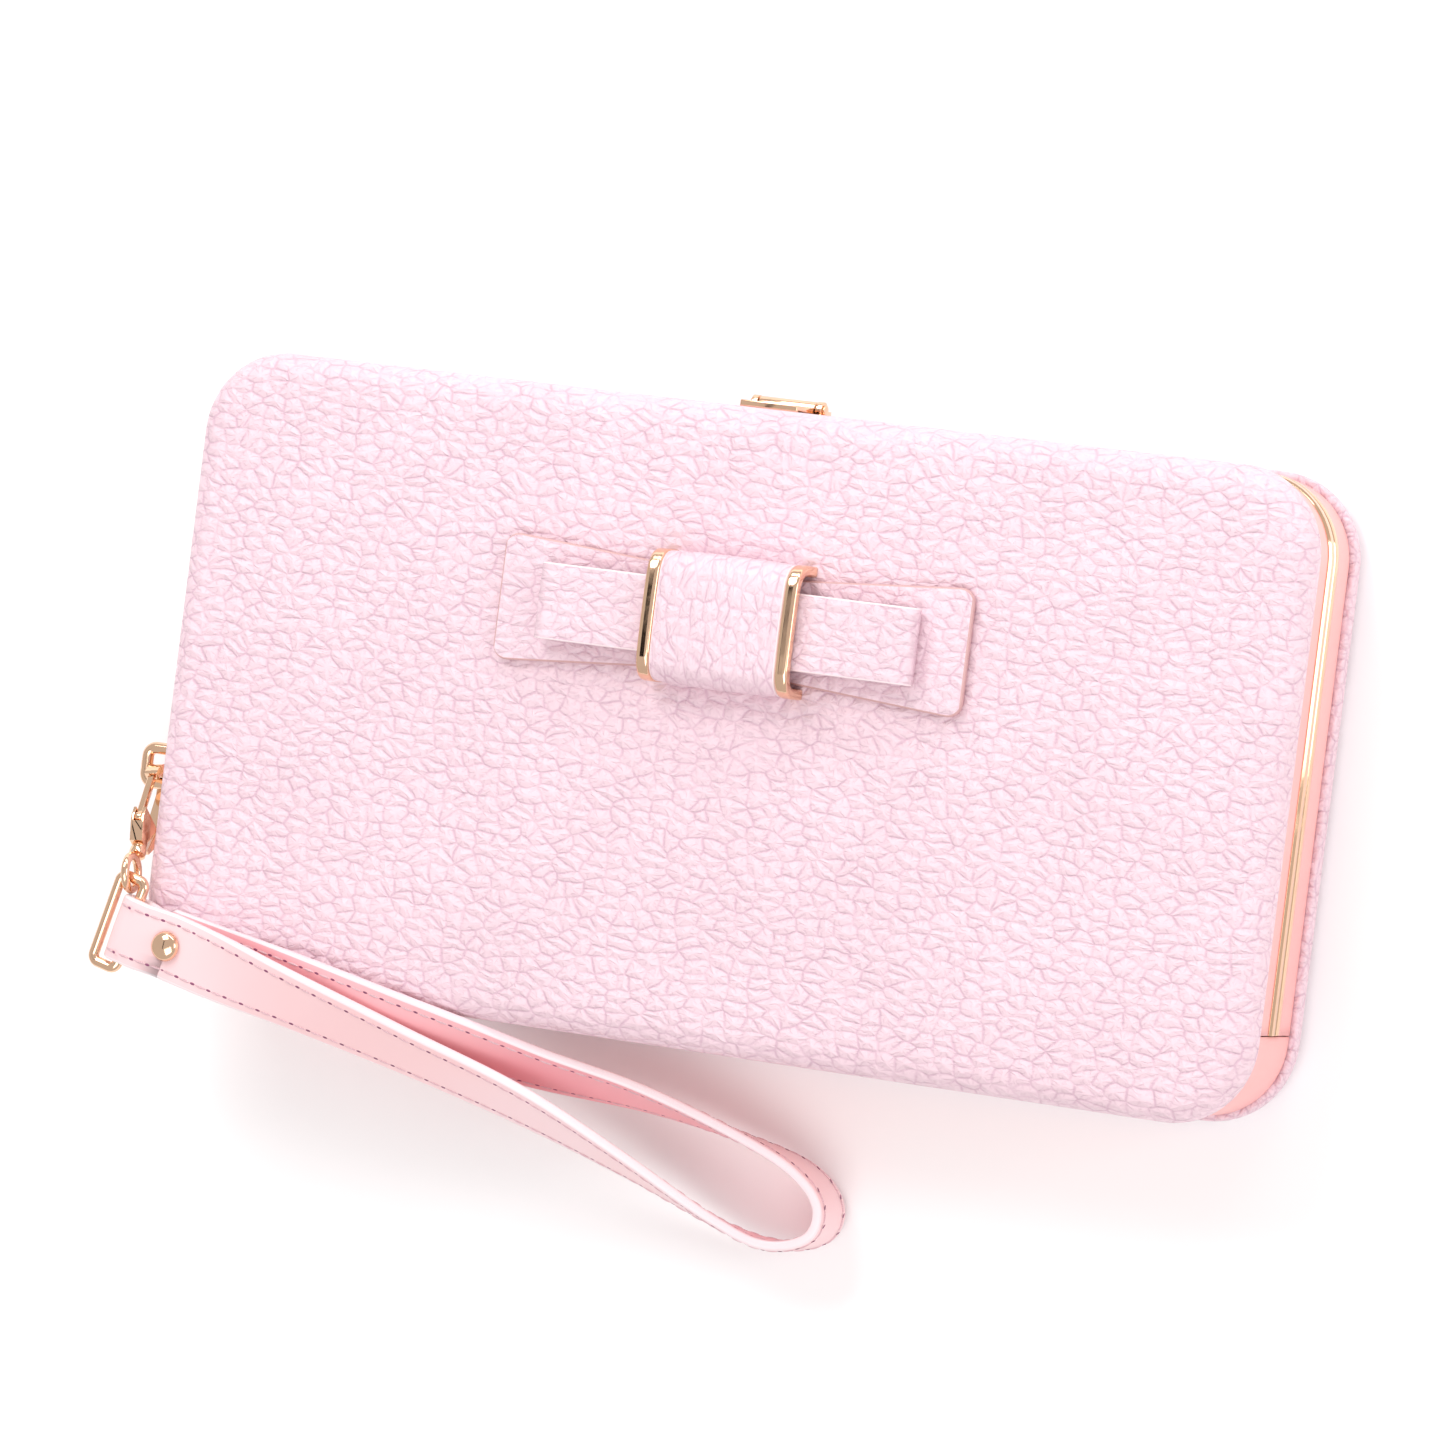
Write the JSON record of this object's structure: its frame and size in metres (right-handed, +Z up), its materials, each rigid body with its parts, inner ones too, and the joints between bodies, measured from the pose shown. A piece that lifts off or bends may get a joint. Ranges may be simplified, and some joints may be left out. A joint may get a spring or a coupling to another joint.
{
  "type": "wristlet wallet",
  "caption": "Hard clamshell wristlet wallet with a metal frame, flip latch, bow, inner pockets, zipped pouch and a clip-on wrist strap.",
  "frame": {"origin": "centre of the flat back, which the closed wallet lies on", "axes": "+X along the long side, +Y from the hinge edge to the opening edge, +Z up out of the front face with the bow"},
  "size_m": [0.202, 0.1376, 0.0354],
  "materials": {
    "litchi_leather": "pebbled soft matte",
    "smooth_leather": "smooth satin",
    "rose_gold": "polished plating",
    "spring_steel": "plain",
    "stiff_board": "raw",
    "lining_cloth": "twill"
  },
  "bodies": {
    "rear_half": {"rear_leather": "litchi_leather", "rear_board": "stiff_board", "rear_band": "smooth_leather", "rear_frame": "rose_gold", "rear_lining": "lining_cloth", "spine_leather": "smooth_leather", "spine_lining": "lining_cloth", "gusset_left": "lining_cloth", "gusset_right": "lining_cloth", "hinge_pins": "rose_gold", "latch_bracket": "rose_gold", "latch_pin": "rose_gold", "phone_pocket_welt": "lining_cloth", "phone_pocket_panel": "lining_cloth"},
    "front_half": {"front_leather": "litchi_leather", "front_board": "stiff_board", "front_band": "smooth_leather", "front_frame": "rose_gold", "front_lining": "lining_cloth", "card_slot_1": "lining_cloth", "card_slot_2": "lining_cloth", "card_slot_3": "lining_cloth", "card_slot_4": "lining_cloth", "slip_pocket": "lining_cloth", "bow_tails": "litchi_leather", "bow_loop": "litchi_leather", "bow_knot_sleeve": "rose_gold", "bow_knot_leather": "litchi_leather", "bow_rivets": "rose_gold", "strike_plate": "rose_gold", "side_ring_plate": "rose_gold", "side_ring": "rose_gold", "side_ring_rivets": "rose_gold"},
    "pouch": {"coin_pouch": "lining_cloth", "zip_tapes": "lining_cloth", "zip_teeth": "rose_gold", "zip_stops": "rose_gold"},
    "slider": {"zip_slider": "rose_gold"},
    "pull": {"zip_pull": "rose_gold"},
    "latch": {"latch_flap": "rose_gold"},
    "clasp": {"clasp_hook": "rose_gold", "gate_pin": "rose_gold", "gate_spring": "spring_steel"},
    "gate": {"clasp_gate": "rose_gold"},
    "eye": {"swivel_eye": "rose_gold"},
    "strap": {"strap_ring": "rose_gold", "strap_loop": "smooth_leather", "strap_rivet": "rose_gold"}
  },
  "joints": [
    {"name": "case_hinge", "type": "hinge", "parent": "rear_half", "child": "front_half", "pos_m": [0, -0.04, 0.014], "axis": [1, 0, 0], "range_deg": [0, 60], "deforming": ["spine_leather", "spine_lining", "gusset_left", "gusset_right"]},
    {"name": "pouch_swing", "type": "hinge", "parent": "rear_half", "child": "pouch", "pos_m": [0, -0.04, 0.014], "axis": [1, 0, 0], "range_deg": [0, 30]},
    {"name": "zip_slide", "type": "slide", "parent": "pouch", "child": "slider", "axis": [-1, 0, 0], "range_m": [0, 0.14]},
    {"name": "zip_pull_swing", "type": "hinge", "parent": "slider", "child": "pull", "pos_m": [0.0725, 0.033, 0.014], "axis": [0, 0, -1], "range_deg": [0, 175]},
    {"name": "latch_flip", "type": "hinge", "parent": "rear_half", "child": "latch", "pos_m": [0, 0.053, 0.0112], "axis": [-1, 0, 0], "range_deg": [0, 100]},
    {"name": "clasp_swing", "type": "hinge", "parent": "front_half", "child": "clasp", "pos_m": [-0.1009, -0.0214, 0.01932], "axis": [1, 0, 0], "range_deg": [-60, 0]},
    {"name": "clasp_gate_press", "type": "hinge", "parent": "clasp", "child": "gate", "pos_m": [-0.09959, -0.02701, 0.02738], "axis": [-0.9903, -0.1115, 0.0832], "range_deg": [0, 18], "stiffness_Nm_per_rad": 0.004, "springref_deg": -17.19},
    {"name": "clasp_swivel", "type": "hinge", "parent": "clasp", "child": "eye", "pos_m": [-0.1009, -0.0214, 0.01932], "axis": [0.1392, -0.7936, 0.5922], "range_deg": [0, 22.5]},
    {"name": "strap_lift", "type": "hinge", "parent": "eye", "child": "strap", "pos_m": [-0.09736, -0.03707, 0.031], "axis": [-0.9703, 0.2419, 0], "range_deg": [0, 75]}
  ],
  "couplings": [
    {"joint": "pouch_swing", "follows": "case_hinge", "ratio": 0.5},
    {"joint": "clasp_swing", "follows": "case_hinge", "ratio": -1},
    {"joint": "clasp_swivel", "follows": "strap_lift", "ratio": 0.3}
  ]
}
